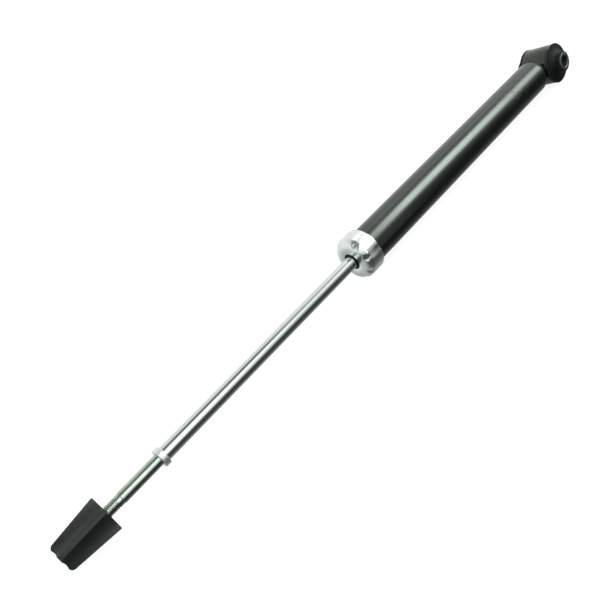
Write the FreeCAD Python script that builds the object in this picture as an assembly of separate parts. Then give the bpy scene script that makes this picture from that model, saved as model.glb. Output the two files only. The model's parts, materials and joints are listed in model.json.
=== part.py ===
# Gas-charged twin-tube shock absorber, with a rubber-bushed eye at one end and a threaded stem at the other.
# Lengths are in millimetres. X runs along the strut from the eye to the stem, Y along the eye's bolt, Z up.
# The origin is the centre of the eye's bore. A name that ends in _x is a place along the strut from there.
# The rod is drawn fully out, with its rebound bumper against the rod guide.

import FreeCAD, Part
import math
import os

# Eye: welded ring, bonded rubber bush and steel sleeve
eye_ring_radius = 21.6
eye_ring_wall = 3.0
eye_ring_length = 30.4
eye_ring_edge = 0.8
sleeve_radius = 9.5
bolt_bore_radius = 6.1
sleeve_length = 54.5
sleeve_chamfer = 0.6
sleeve_clearance = 0.05
bush_lip_height = 0.5
bush_lip_thickness = 1.8
bush_lip_round = 0.6
bush_lip_face = 3.2
bush_dome_height = 2.3
bush_dome_radius = 14.0
bush_dome_round = 3.0
bush_neck_length = 2.2
bush_neck_round = 3.0
bush_nose_wall = 1.8
bush_nose_setback = 1.0
weld_leg = 5.0
weld_width_margin = 0.4

# Tubes and the base
cylinder_radius = 13.5
cylinder_wall = 1.2
oil_gap = 2.2
tube_wall = 1.5
tube_end_round = 6.0
base_wall = 3.5
base_round = 9.0
base_inner_round = 0.6
base_rim_length = 1.0
base_spigot_length = 7.0
base_spigot_wall = 1.5
base_saddle_depth = 0.03
base_to_bush_gap = 0.3

# Bump cap over the rod end of the tube
body_length = 376.7
bump_sheet = 1.2
bump_gap = 2.15
bump_length = 20.6
bump_round = 7.0
bump_hole_gap = 2.3
bump_edge_round = 0.5
pocket_count = 8
pocket_radius = 4.2
pocket_depth = 2.0
pocket_seat_gap = 0.1
pocket_turn_angle = 8.0

# Rod, with its stem and thread
rod_radius = 6.2
rod_exposed_length = 240.0
stem_radius = 5.0
stem_length = 44.0
stem_chamfer = 0.5
neck_radius = 4.6
neck_length = 3.4
thread_radius = 4.87
thread_pitch = 1.5
thread_turns = 21
thread_depth = 0.8
thread_crest_flat = 0.25
dog_radius = 4.2
dog_length = 6.0
dog_flats_across = 6.4
dog_round = 0.9
tenon_radius = 4.5
tenon_overhang = 1.5
tenon_chamfer = 0.6
collar_seat_radius = 5.5
collar_radius = 8.15
collar_length = 5.2
collar_chamfer = 0.5

# Rod guide and seal pack
guide_clearance = 0.05
guide_bush_wall = 0.95
guide_bush_inset = 0.8
guide_flange_length = 13.0
guide_spigot_length = 9.0
guide_chamfer = 1.5
guide_recess_depth = 8.0
guide_recess_gap = 1.2
drain_count = 3
drain_radius = 1.5
washer_thickness = 2.0
washer_edge_gap = 0.3
static_seal_thickness = 1.5
seal_clearance = 0.06
seal_relief = 0.9
seal_body_wall = 2.3
seal_dust_lip_wall = 2.6
seal_dust_lip_length = 1.9
seal_lip_land = 0.8
seal_lip_flare = 1.6
seal_lip_depth = 6.4
garter_radius = 0.8

# Rebound stop
rest_gap = 0.3
bumper_length = 7.0
bumper_wall = 5.2
bumper_clearance = 0.1
bumper_round = 1.2
stop_length = 4.0
stop_wall = 4.3
stop_groove_depth = 0.6
stop_to_shoulder = 24.0

# Piston and its valves
piston_clearance = 0.3
piston_length = 13.0
piston_edge = 0.6
band_length = 8.8
band_groove_depth = 1.2
band_clearance = 0.05
band_seat_clearance = 0.1
hub_wall = 1.7
port_count = 6
rebound_port_radius = 0.9
rebound_port_hub_gap = 0.5
check_port_radius = 1.2
check_port_rim_gap = 1.4
check_plate_thickness = 0.5
check_plate_rim_gap = 0.9
check_plate_clearance = 0.2
check_plate_lift = 1.0
check_spring_height = 1.1
check_spring_sheet = 0.3
check_spring_fingers = 6
check_spring_slot = 2.2
check_spring_ring = 1.4
seat_gap = 0.05
disc_count = 4
disc_thickness = 0.3
disc_step = 0.6
disc_overlap = 0.5
disc_washer_thickness = 2.0
disc_washer_wall = 2.6
stop_washer_thickness = 2.0
nut_sides = 6
nut_across_flats = 13.0
nut_height = 6.0
nut_chamfer = 0.8

# Foot valve in the base
foot_leg_height = 12.5
foot_leg_wall = 3.4
foot_port_wall_gap = 0.4
foot_window_count = 4
foot_window_width = 8.0
foot_window_height = 6.0
foot_flange_height = 3.0
foot_spigot_length = 7.0
foot_pin_radius = 3.0
foot_hub_wall = 1.2
foot_pin_head_thickness = 2.0
foot_pin_head_wall = 4.2
foot_washer_thickness = 1.5
foot_washer_wall = 2.6
foot_rivet_height = 1.5
foot_rivet_wall = 1.5

# Transit cap on the thread
cap_length = 42.55
cap_mouth_radius = 15.8
cap_tip_radius = 11.65
cap_tip_round = 3.6
cap_mouth_round = 0.8
cap_wing_count = 4
cap_wing_thickness = 3.0
cap_core_radius = 7.4
cap_turn_angle = 35.0
cap_cover_depth = 27.45
cap_bore_clearance = 0.1
cap_bore_end_gap = 1.0
cap_dish_radius = 8.2
cap_dish_depth = 1.2

# Places and sizes that follow from the values above
STRUT = FreeCAD.Vector(1, 0, 0)
BOLT = FreeCAD.Vector(0, 1, 0)
CENTRE = FreeCAD.Vector(0, 0, 0)

eye_half = eye_ring_length / 2
bush_bore_radius = sleeve_radius + sleeve_clearance
bush_lip_radius = eye_ring_radius + bush_lip_height
bush_lip_end = eye_half + bush_lip_thickness
bush_dome_end = bush_lip_end + bush_dome_height
bush_nose_end = sleeve_length / 2 - bush_nose_setback
bush_nose_radius = bush_bore_radius + bush_nose_wall

cylinder_outer_radius = cylinder_radius + cylinder_wall
tube_inner_radius = cylinder_outer_radius + oil_gap
tube_radius = tube_inner_radius + tube_wall
base_face_x = eye_ring_radius - base_saddle_depth
base_floor_x = base_face_x + base_wall
tube_start_x = base_face_x + base_round + base_rim_length
base_end_x = tube_start_x + base_spigot_length
base_hollow_radius = tube_inner_radius - base_spigot_wall

bump_inner_radius = tube_radius + bump_gap
bump_radius = bump_inner_radius + bump_sheet
bump_hole_radius = rod_radius + bump_hole_gap
bump_skirt_x = body_length - bump_length
shoulder_x = body_length - bump_round
shoulder_radius = bump_radius - bump_round
pocket_reach = (bump_round + pocket_radius - pocket_depth) * math.sqrt(0.5)
pocket_x = shoulder_x + pocket_reach
pocket_circle_radius = shoulder_radius + pocket_reach

tube_round_radius = tube_radius - tube_end_round
pocket_to_tube = pocket_radius + bump_sheet + tube_end_round + pocket_seat_gap
tube_round_x = pocket_x - math.sqrt(pocket_to_tube ** 2 - (pocket_circle_radius - tube_round_radius) ** 2)
tube_end_x = tube_round_x + tube_end_round
tube_inner_round = tube_end_round - tube_wall

seal_inner_radius = rod_radius + seal_clearance
seal_body_radius = seal_inner_radius + seal_body_wall
seal_dust_radius = seal_inner_radius + seal_dust_lip_wall
garter_circle_radius = seal_inner_radius + seal_body_wall + garter_radius / 2
tube_lip_radius = seal_dust_radius + bump_hole_gap / 2
lip_inner_x = tube_end_x - tube_wall
washer_x = lip_inner_x - washer_thickness
guide_top_x = washer_x - static_seal_thickness
guide_shoulder_x = guide_top_x - guide_flange_length
guide_bottom_x = guide_shoulder_x - guide_spigot_length
guide_recess_x = guide_top_x - guide_recess_depth
guide_recess_radius = garter_circle_radius + garter_radius + guide_recess_gap
guide_bush_radius = rod_radius + guide_clearance
guide_bore_radius = guide_bush_radius + guide_bush_wall
washer_rise = math.sqrt(tube_inner_round ** 2 - (tube_inner_round - washer_thickness) ** 2)
washer_radius = tube_round_radius + washer_rise - washer_edge_gap

bumper_end_x = guide_bottom_x - rest_gap
bumper_x = bumper_end_x - bumper_length
stop_x = bumper_x - stop_length
rod_shoulder_x = stop_x - stop_to_shoulder
collar_x = body_length + rod_exposed_length
stem_end_x = collar_x + stem_length
thread_x = stem_end_x + neck_length
dog_x = thread_x + thread_pitch * thread_turns
rod_end_x = dog_x + dog_length

check_gallery = check_plate_thickness + check_plate_lift + check_spring_height
piston_top_x = rod_shoulder_x - stop_washer_thickness - check_gallery
piston_x = piston_top_x - piston_length
piston_radius = cylinder_radius - piston_clearance
hub_radius = tenon_radius + hub_wall
rebound_port_circle = hub_radius + rebound_port_hub_gap + rebound_port_radius
check_port_circle = piston_radius - check_port_rim_gap - check_port_radius
check_plate_radius = piston_radius - check_plate_rim_gap
disc_radius = rebound_port_circle + rebound_port_radius + disc_overlap
discs_x = piston_x - disc_count * disc_thickness
disc_washer_x = discs_x - disc_washer_thickness
nut_x = disc_washer_x - nut_height
tenon_end_x = nut_x - tenon_overhang

foot_leg_radius = cylinder_outer_radius - foot_leg_wall
foot_plate_x = base_floor_x + foot_leg_height
foot_seat_x = foot_plate_x - foot_flange_height / 2
foot_top_x = foot_seat_x + foot_spigot_length
foot_hub_radius = foot_pin_radius + foot_hub_wall
foot_inner_port_circle = foot_hub_radius + rebound_port_hub_gap + rebound_port_radius
foot_outer_port_circle = foot_leg_radius - foot_port_wall_gap - check_port_radius
foot_plate_radius = cylinder_radius - check_plate_rim_gap
foot_disc_radius = foot_inner_port_circle + rebound_port_radius + disc_overlap
foot_head_x = foot_top_x + check_gallery
foot_discs_x = foot_plate_x - disc_count * disc_thickness
foot_washer_x = foot_discs_x - foot_washer_thickness
foot_rivet_x = foot_washer_x - foot_rivet_height

cap_bore_radius = thread_radius + cap_bore_clearance
cap_mouth_x = rod_end_x - cap_cover_depth
cap_tip_x = cap_mouth_x + cap_length
cap_half_pitch = 180 / cap_wing_count
cap_hollow_circle = (cap_core_radius - cap_wing_thickness / 2) / (1 - math.sin(math.radians(cap_half_pitch)))
cap_hollow_radius = cap_hollow_circle - cap_core_radius


def rounded_wire(corners):
    """Closed outline from (along, radius) corners. A third value in a corner rounds it to that radius."""
    places = [FreeCAD.Vector(corner[0], 0, corner[1]) for corner in corners]
    starts, arcs = [], []
    for index, corner in enumerate(corners):
        here = places[index]
        back = (places[index - 1] - here).normalize()
        ahead = (places[(index + 1) % len(places)] - here).normalize()
        if len(corner) < 3:
            starts.append((here, here))
            continue
        half_turn = back.getAngle(ahead) / 2
        reach = corner[2] / math.tan(half_turn)
        first = here + back * reach
        last = here + ahead * reach
        middle = here + (back + ahead).normalize() * (corner[2] / math.sin(half_turn) - corner[2])
        starts.append((first, last))
        arcs.append(Part.Arc(first, middle, last).toShape())
    lines = []
    for index, (first, _) in enumerate(starts):
        before = starts[index - 1][1]
        if before.distanceToPoint(first) > 1e-6:
            lines.append(Part.makeLine(before, first))
    return Part.Wire(Part.__sortEdges__(lines + arcs))


def turned(corners):
    """Solid turned about the strut's axis from (x, radius) corners."""
    return Part.Face(rounded_wire(corners)).revolve(CENTRE, STRUT, 360)


def turned_on_bolt(corners):
    """Solid turned about the eye's bolt axis from (y, radius) corners."""
    solid = turned(corners)
    solid.rotate(CENTRE, FreeCAD.Vector(0, 0, 1), 90)
    return solid


def ring(start_x, end_x, inner_radius, outer_radius, edge=None):
    """Plain ring along the strut, with its outer edges rounded if an edge radius is given."""
    outer = (outer_radius, edge) if edge else (outer_radius,)
    return turned([(start_x, inner_radius), (end_x, inner_radius), (end_x, *outer), (start_x, *outer)])


def around(count, shape, turn=0.0):
    """Copies of a shape, evenly spaced about the strut's axis."""
    copies = []
    for index in range(count):
        copy = shape.copy()
        copy.rotate(CENTRE, STRUT, turn + index * 360 / count)
        copies.append(copy)
    return copies


def holes(count, circle_radius, hole_radius, start_x, end_x, turn=0.0):
    """Cylinders along the strut on a circle, to be cut away as ports."""
    first = Part.makeCylinder(hole_radius, end_x - start_x, FreeCAD.Vector(start_x, 0, circle_radius), STRUT)
    return around(count, first, turn)


def block(start_x, end_x, width, low_z, high_z):
    """Block centred on Y."""
    return Part.makeBox(end_x - start_x, width, high_z - low_z, FreeCAD.Vector(start_x, -width / 2, low_z))


def make_eye_ring():
    outer = (eye_ring_radius, eye_ring_edge)
    inner_radius = eye_ring_radius - eye_ring_wall
    return turned_on_bolt([(-eye_half, inner_radius), (eye_half, inner_radius),
                           (eye_half, *outer), (-eye_half, *outer)])


def make_eye_sleeve():
    end = sleeve_length / 2
    chamfered = end - sleeve_chamfer
    rim = sleeve_radius - sleeve_chamfer
    return turned_on_bolt([(-end, bolt_bore_radius), (end, bolt_bore_radius), (end, rim),
                           (chamfered, sleeve_radius), (-chamfered, sleeve_radius), (-end, rim)])


def make_eye_bush():
    """Rubber between sleeve and ring, with a lip over each ring end, a low dome and a nose along the sleeve."""
    body_radius = eye_ring_radius - eye_ring_wall
    half = [(eye_half, body_radius), (eye_half, bush_lip_radius, bush_lip_round),
            (bush_lip_end, bush_lip_radius, bush_lip_round), (bush_lip_end, bush_lip_radius - bush_lip_face),
            (bush_dome_end, bush_dome_radius, bush_dome_round),
            (bush_dome_end + bush_neck_length, bush_nose_radius, bush_neck_round),
            (bush_nose_end, bush_nose_radius), (bush_nose_end, bush_bore_radius)]
    other_half = [(-corner[0], *corner[1:]) for corner in reversed(half)]
    return turned_on_bolt(half + other_half)


def eye_ring_space():
    """Everything inside the ring's outer face, to shape what is welded against it."""
    return Part.makeCylinder(eye_ring_radius, eye_ring_length, FreeCAD.Vector(0, -eye_half, 0), BOLT)


def bush_lip_spaces():
    """Room for the bush's two lips, to be cut from the base where they come near it."""
    radius = bush_lip_radius + base_to_bush_gap
    length = bush_lip_thickness + base_to_bush_gap
    near = Part.makeCylinder(radius, length, FreeCAD.Vector(0, eye_half, 0), BOLT)
    far = Part.makeCylinder(radius, length, FreeCAD.Vector(0, -eye_half, 0), BOLT * -1)
    return [near, far]


def base_outline(floor_part):
    """Corners of the base cap's section. The outer corner is the rounded end that shows on the tube."""
    outside = [(base_face_x, 0), (base_face_x, tube_radius, base_round), (tube_start_x, tube_radius)]
    return outside + floor_part


def make_base_cap():
    """Domed base with a spigot inside the tube, and a shallow saddle where it meets the eye ring."""
    inside = [(tube_start_x, tube_inner_radius), (base_end_x, tube_inner_radius),
              (base_end_x, base_hollow_radius), (base_floor_x, base_hollow_radius, base_inner_round),
              (base_floor_x, 0)]
    return turned(base_outline(inside)).cut([eye_ring_space()] + bush_lip_spaces())


def make_eye_weld():
    """Fillet of weld metal in the corner between the ring and the base, all along the ring."""
    bead_x = base_face_x + weld_leg
    bead_radius = tube_radius - weld_leg / 2
    bead = turned([(0, 0), (0, bead_radius - weld_leg), (base_face_x - weld_leg / 2, bead_radius - weld_leg),
                   (bead_x, bead_radius), (bead_x, 0)])
    solid_base = turned(base_outline([(tube_start_x, 0)]))
    along_ring = block(0, bead_x, eye_ring_length - 2 * weld_width_margin, -tube_radius, tube_radius)
    bead = bead.common(along_ring).cut(eye_ring_space()).cut(solid_base)
    return Part.makeCompound(bead.Solids)


def make_reserve_tube():
    """Outer tube, rolled in at the rod end over the seal pack."""
    return turned([(tube_start_x, tube_inner_radius), (tube_start_x, tube_radius),
                   (tube_end_x, tube_radius, tube_end_round), (tube_end_x, tube_lip_radius),
                   (lip_inner_x, tube_lip_radius), (lip_inner_x, tube_inner_radius, tube_inner_round)])


def make_pressure_tube():
    return ring(foot_seat_x, guide_shoulder_x, cylinder_radius, cylinder_outer_radius)


def make_bump_cap():
    """Pressed cap whose eight pockets grip the rolled end of the tube, drawn from sheet of one thickness."""
    outside = turned([(bump_skirt_x, 0), (bump_skirt_x, bump_radius, bump_edge_round),
                      (body_length, bump_radius, bump_round), (body_length, 0)])
    inside = turned([(bump_skirt_x, 0), (bump_skirt_x, bump_inner_radius),
                     (body_length - bump_sheet, bump_inner_radius, bump_round - bump_sheet),
                     (body_length - bump_sheet, 0)])
    pocket_place = FreeCAD.Vector(pocket_x, 0, pocket_circle_radius)
    pocket = Part.makeSphere(pocket_radius, pocket_place)
    pocket_wall = Part.makeSphere(pocket_radius + bump_sheet, pocket_place)
    pockets = around(pocket_count, pocket, pocket_turn_angle)
    pocket_walls = around(pocket_count, pocket_wall, pocket_turn_angle)
    hole = Part.makeCylinder(bump_hole_radius, bump_length, FreeCAD.Vector(bump_skirt_x, 0, 0), STRUT)
    return outside.cut(pockets).cut(inside.cut(pocket_walls)).cut(hole)


def make_rod_guide():
    """Sintered guide: flange in the outer tube, spigot in the pressure tube, seal recess and drain slots."""
    guide = turned([(guide_bottom_x, guide_bore_radius), (guide_bottom_x, cylinder_radius),
                    (guide_shoulder_x, cylinder_radius), (guide_shoulder_x, tube_inner_radius),
                    (guide_top_x - guide_chamfer, tube_inner_radius),
                    (guide_top_x, tube_inner_radius - guide_chamfer), (guide_top_x, guide_recess_radius),
                    (guide_recess_x, guide_recess_radius), (guide_recess_x, guide_bore_radius)])
    return guide.cut(holes(drain_count, tube_inner_radius, drain_radius, guide_shoulder_x, guide_top_x))


def make_guide_bush():
    return ring(guide_bottom_x + guide_bush_inset, guide_recess_x, guide_bush_radius, guide_bore_radius)


def make_seal_washer():
    return turned([(washer_x, seal_body_radius), (lip_inner_x, seal_body_radius),
                   (lip_inner_x, tube_round_radius - washer_edge_gap), (washer_x, washer_radius)])


def garter_place_x():
    return guide_top_x - seal_lip_depth + garter_radius * 2


def make_garter_spring():
    """Garter spring as its outer envelope, a ring of round section."""
    place = FreeCAD.Vector(garter_place_x(), 0, 0)
    return Part.makeTorus(garter_circle_radius, garter_radius, place, STRUT)


def make_rod_seal():
    """Rubber seal moulded on the washer: oil lip, static ring on the guide, dust lip that shows on top."""
    lip_x = guide_top_x - seal_lip_depth
    land_x = lip_x + seal_lip_land
    flare_x = land_x + seal_lip_land
    relief_radius = seal_inner_radius + seal_relief
    dust_x = tube_end_x - tube_wall / 2
    dust_end_x = dust_x + seal_dust_lip_length
    seal = turned([(lip_x, relief_radius), (land_x, seal_inner_radius),
                   (flare_x, seal_inner_radius), (flare_x + seal_lip_flare, relief_radius),
                   (dust_x, relief_radius), (dust_end_x - seal_lip_land, seal_inner_radius),
                   (dust_end_x, seal_inner_radius), (dust_end_x, seal_inner_radius + seal_relief),
                   (dust_x, seal_dust_radius), (lip_inner_x, seal_dust_radius),
                   (lip_inner_x, seal_body_radius), (washer_x, seal_body_radius), (washer_x, washer_radius),
                   (guide_top_x, washer_radius), (guide_top_x, guide_recess_radius),
                   (guide_top_x, seal_body_radius + garter_radius), (lip_x, seal_body_radius + garter_radius)])
    return seal.cut(make_garter_spring())


def thread_corners():
    """Section of the thread as ridges of the real pitch, depth and crest."""
    flank = (thread_pitch - 2 * thread_crest_flat) / 2
    root_radius = thread_radius - thread_depth
    corners = []
    for turn in range(thread_turns):
        start = thread_x + turn * thread_pitch
        crest = start + flank
        corners += [(start, root_radius), (crest, thread_radius), (crest + thread_crest_flat, thread_radius),
                    (crest + thread_crest_flat + flank, root_radius)]
    return corners


def make_piston_rod():
    """One bar: tenon for the piston, chromed shank with a groove for the stop, stem, neck, thread, dog point."""
    groove_radius = rod_radius - stop_groove_depth
    inner_end = [(tenon_end_x, 0), (tenon_end_x, tenon_radius - tenon_chamfer),
                 (tenon_end_x + tenon_chamfer, tenon_radius), (rod_shoulder_x, tenon_radius),
                 (rod_shoulder_x, rod_radius), (stop_x, rod_radius), (stop_x, groove_radius),
                 (bumper_x, groove_radius), (bumper_x, rod_radius)]
    collar_end_x = collar_x + collar_length
    outer_end = [(collar_x, rod_radius), (collar_x, collar_seat_radius), (collar_end_x, collar_seat_radius),
                 (collar_end_x, stem_radius), (stem_end_x - stem_chamfer, stem_radius),
                 (stem_end_x, neck_radius), (thread_x, neck_radius)]
    dog = [(dog_x, dog_radius), (rod_end_x, dog_radius, dog_round), (rod_end_x, 0)]
    rod = turned(inner_end + outer_end + thread_corners() + dog)
    flat_cutters = []
    for side in (1, -1):
        low = dog_flats_across / 2 if side > 0 else -dog_radius
        flat_cutters.append(block(dog_x, rod_end_x, 2 * dog_radius, low, low + dog_radius - dog_flats_across / 2))
    return rod.cut(flat_cutters)


def make_seat_collar():
    return turned([(collar_x, collar_seat_radius), (collar_x + collar_length, collar_seat_radius),
                   (collar_x + collar_length, collar_radius - collar_chamfer),
                   (collar_x + collar_length - collar_chamfer, collar_radius),
                   (collar_x + collar_chamfer, collar_radius), (collar_x, collar_radius - collar_chamfer)])


def make_rebound_stop():
    return ring(stop_x, bumper_x, rod_radius - stop_groove_depth, rod_radius + stop_wall, collar_chamfer)


def make_rebound_bumper():
    inner_radius = rod_radius + bumper_clearance
    return ring(bumper_x, bumper_end_x, inner_radius, rod_radius + bumper_wall, bumper_round)


def make_piston_body():
    """Sintered piston: band groove outside, inner rebound ports, outer compression ports, hub on top."""
    band_x = piston_x + (piston_length - band_length) / 2
    band_end_x = band_x + band_length
    groove_radius = piston_radius - band_groove_depth
    piston = turned([(piston_x, tenon_radius), (piston_x, piston_radius, piston_edge), (band_x, piston_radius),
                     (band_x, groove_radius), (band_end_x, groove_radius), (band_end_x, piston_radius),
                     (piston_top_x, piston_radius, piston_edge), (piston_top_x, hub_radius),
                     (piston_top_x + check_gallery, hub_radius), (piston_top_x + check_gallery, tenon_radius)])
    rebound_ports = holes(port_count, rebound_port_circle, rebound_port_radius, piston_x, piston_top_x)
    check_ports = holes(port_count, check_port_circle, check_port_radius, piston_x, piston_top_x,
                        180 / port_count)
    return piston.cut(rebound_ports + check_ports)


def make_piston_band():
    """Low-friction band in the piston's groove, which runs in the pressure tube."""
    start_x = piston_x + (piston_length - band_length) / 2 + band_seat_clearance
    inner_radius = piston_radius - band_groove_depth + band_seat_clearance
    return ring(start_x, start_x + band_length - 2 * band_seat_clearance, inner_radius,
                cylinder_radius - band_clearance)


def check_plate(face_x, bore_radius, outer_radius, window_circle):
    """Thin one-way plate: it lifts off the outer ports, and its windows leave the inner ports open."""
    start_x = face_x + seat_gap
    end_x = start_x + check_plate_thickness
    plate = ring(start_x, end_x, bore_radius + check_plate_clearance, outer_radius)
    return plate.cut(holes(port_count, window_circle, rebound_port_radius, start_x, end_x))


def check_spring(face_x, bore_radius, outer_radius):
    """Star spring at its fitted height, from a ring under the stop down to fingers on the plate."""
    low_x = face_x + 2 * seat_gap + check_plate_thickness
    high_x = face_x + check_gallery
    inner = bore_radius + check_plate_clearance
    bend = inner + check_spring_ring
    tip = outer_radius - check_spring_sheet
    star = turned([(high_x - check_spring_sheet, inner), (high_x, inner), (high_x, bend),
                   (low_x + check_spring_sheet, tip), (low_x, tip), (high_x - check_spring_sheet, bend)])
    slot = block(low_x, high_x, check_spring_slot, bend, outer_radius)
    return star.cut(around(check_spring_fingers, slot))


def valve_discs(outer_x, bore_radius, outer_radius):
    """Stack of spring-steel discs, each smaller than the one that seals the ports."""
    discs = []
    for index in range(disc_count):
        end_x = outer_x - index * disc_thickness
        discs.append(ring(end_x - disc_thickness, end_x, bore_radius, outer_radius - index * disc_step))
    return Part.makeCompound(discs)


def make_piston_check_plate():
    return check_plate(piston_top_x, hub_radius, check_plate_radius, rebound_port_circle)


def make_piston_check_spring():
    return check_spring(piston_top_x, hub_radius, check_plate_radius)


def make_piston_stop_washer():
    return ring(rod_shoulder_x - stop_washer_thickness, rod_shoulder_x, tenon_radius, check_plate_radius)


def make_piston_discs():
    return valve_discs(piston_x, tenon_radius, disc_radius)


def make_piston_disc_washer():
    return ring(disc_washer_x, discs_x, tenon_radius, tenon_radius + disc_washer_wall)


def make_piston_nut():
    """Hexagon nut on the tenon, its corners turned off at the outer end."""
    corner_radius = nut_across_flats / 2 / math.cos(math.pi / nut_sides)
    corners = []
    for index in range(nut_sides):
        angle = 2 * math.pi * index / nut_sides
        corners.append(FreeCAD.Vector(nut_x, corner_radius * math.cos(angle), corner_radius * math.sin(angle)))
    hexagon = Part.Face(Part.makePolygon(corners + corners[:1])).extrude(STRUT * nut_height)
    turned_corners = turned([(nut_x, 0), (nut_x, corner_radius - nut_chamfer),
                             (nut_x + nut_chamfer, corner_radius), (disc_washer_x, corner_radius),
                             (disc_washer_x, 0)])
    bore = Part.makeCylinder(tenon_radius, nut_height, FreeCAD.Vector(nut_x, 0, 0), STRUT)
    return hexagon.common(turned_corners).cut(bore)


def make_base_valve_body():
    """Foot valve body: windowed legs on the base, a seat for the pressure tube, ports, a hub for the plate."""
    body = turned([(base_floor_x, foot_leg_radius), (base_floor_x, cylinder_outer_radius),
                   (foot_seat_x, cylinder_outer_radius), (foot_seat_x, cylinder_radius),
                   (foot_top_x, cylinder_radius), (foot_top_x, foot_hub_radius),
                   (foot_head_x, foot_hub_radius), (foot_head_x, foot_pin_radius),
                   (foot_plate_x, foot_pin_radius), (foot_plate_x, foot_leg_radius)])
    window_end_x = base_floor_x + foot_window_height
    window = block(base_floor_x, window_end_x, foot_window_width, 0, cylinder_outer_radius * 2)
    inner_ports = holes(port_count, foot_inner_port_circle, rebound_port_radius, foot_plate_x, foot_top_x)
    outer_ports = holes(port_count, foot_outer_port_circle, check_port_radius, foot_plate_x, foot_top_x,
                        180 / port_count)
    return body.cut(around(foot_window_count, window) + inner_ports + outer_ports)


def make_base_valve_discs():
    return valve_discs(foot_plate_x, foot_pin_radius, foot_disc_radius)


def make_base_valve_washer():
    return ring(foot_washer_x, foot_discs_x, foot_pin_radius, foot_pin_radius + foot_washer_wall)


def make_base_valve_pin():
    """Rivet through the foot valve: its head stops the intake plate, its other end holds the discs."""
    head_end_x = foot_head_x + foot_pin_head_thickness
    head_radius = foot_hub_radius + foot_pin_head_wall
    rivet_radius = foot_pin_radius + foot_rivet_wall
    return turned([(foot_rivet_x, 0), (foot_rivet_x, rivet_radius, foot_rivet_height / 2),
                   (foot_washer_x, rivet_radius), (foot_washer_x, foot_pin_radius),
                   (foot_head_x, foot_pin_radius), (foot_head_x, head_radius),
                   (head_end_x, head_radius, foot_pin_head_thickness / 2), (head_end_x, 0)])


def make_base_check_plate():
    return check_plate(foot_top_x, foot_hub_radius, foot_plate_radius, foot_inner_port_circle)


def make_base_check_spring():
    return check_spring(foot_top_x, foot_hub_radius, foot_hub_radius + foot_pin_head_wall)


def make_transit_cap():
    """Tapered wings round a core, with wide hollows, a blind bore for the thread and a shallow dish at the tip."""
    envelope = turned([(cap_mouth_x, 0), (cap_mouth_x, cap_mouth_radius, cap_mouth_round),
                       (cap_tip_x, cap_tip_radius, cap_tip_round), (cap_tip_x, 0)])
    place = FreeCAD.Vector(cap_mouth_x, cap_hollow_circle, 0)
    hollow = Part.makeCylinder(cap_hollow_radius, cap_length, place, STRUT)
    hollows = around(cap_wing_count, hollow, cap_turn_angle + cap_half_pitch)
    bore_length = cap_cover_depth + cap_bore_end_gap
    bore = Part.makeCylinder(cap_bore_radius, bore_length, FreeCAD.Vector(cap_mouth_x, 0, 0), STRUT)
    dish_place = FreeCAD.Vector(cap_tip_x - cap_dish_depth, 0, 0)
    dish = Part.makeCylinder(cap_dish_radius, cap_dish_depth, dish_place, STRUT)
    return envelope.cut(hollows).cut([bore, dish])


MAKERS = {
    "eye_ring": make_eye_ring,
    "eye_bush": make_eye_bush,
    "eye_sleeve": make_eye_sleeve,
    "eye_weld": make_eye_weld,
    "base_cap": make_base_cap,
    "reserve_tube": make_reserve_tube,
    "pressure_tube": make_pressure_tube,
    "bump_cap": make_bump_cap,
    "rod_guide": make_rod_guide,
    "guide_bush": make_guide_bush,
    "seal_washer": make_seal_washer,
    "rod_seal": make_rod_seal,
    "garter_spring": make_garter_spring,
    "piston_rod": make_piston_rod,
    "seat_collar": make_seat_collar,
    "rebound_stop": make_rebound_stop,
    "rebound_bumper": make_rebound_bumper,
    "piston_body": make_piston_body,
    "piston_band": make_piston_band,
    "piston_check_plate": make_piston_check_plate,
    "piston_check_spring": make_piston_check_spring,
    "piston_stop_washer": make_piston_stop_washer,
    "piston_discs": make_piston_discs,
    "piston_disc_washer": make_piston_disc_washer,
    "piston_nut": make_piston_nut,
    "base_valve_body": make_base_valve_body,
    "base_valve_discs": make_base_valve_discs,
    "base_valve_washer": make_base_valve_washer,
    "base_valve_pin": make_base_valve_pin,
    "base_check_plate": make_base_check_plate,
    "base_check_spring": make_base_check_spring,
    "transit_cap": make_transit_cap,
}

os.makedirs("parts", exist_ok=True)
for node, maker in MAKERS.items():
    shape = maker()
    shape.exportStep("parts/" + node + ".step")
    print(node, "solids", len(shape.Solids), "valid", shape.isValid(), "volume", round(shape.Volume, 1))
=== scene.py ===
# %% [markdown]
# The object is the rear shock absorber of a car: a black enamelled twin tube with a rubber-bushed eye, a bright cap
# that meets the bump stop, a chromed rod, and a black plastic cap that guards the thread in transit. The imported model
# gives every solid at its real size, and it stays the frame for all that follows. The pieces inside keep their solids
# and get a finish. The pieces that show are modelled again here, because light runs smoothly along a fine mesh and
# breaks up on a coarse one. Lengths are in millimetres until they are handed to Blender, which takes metres.

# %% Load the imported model
import json
import math
import bmesh
import bpy
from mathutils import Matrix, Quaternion, Vector
from mathutils.geometry import intersect_point_line

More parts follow.
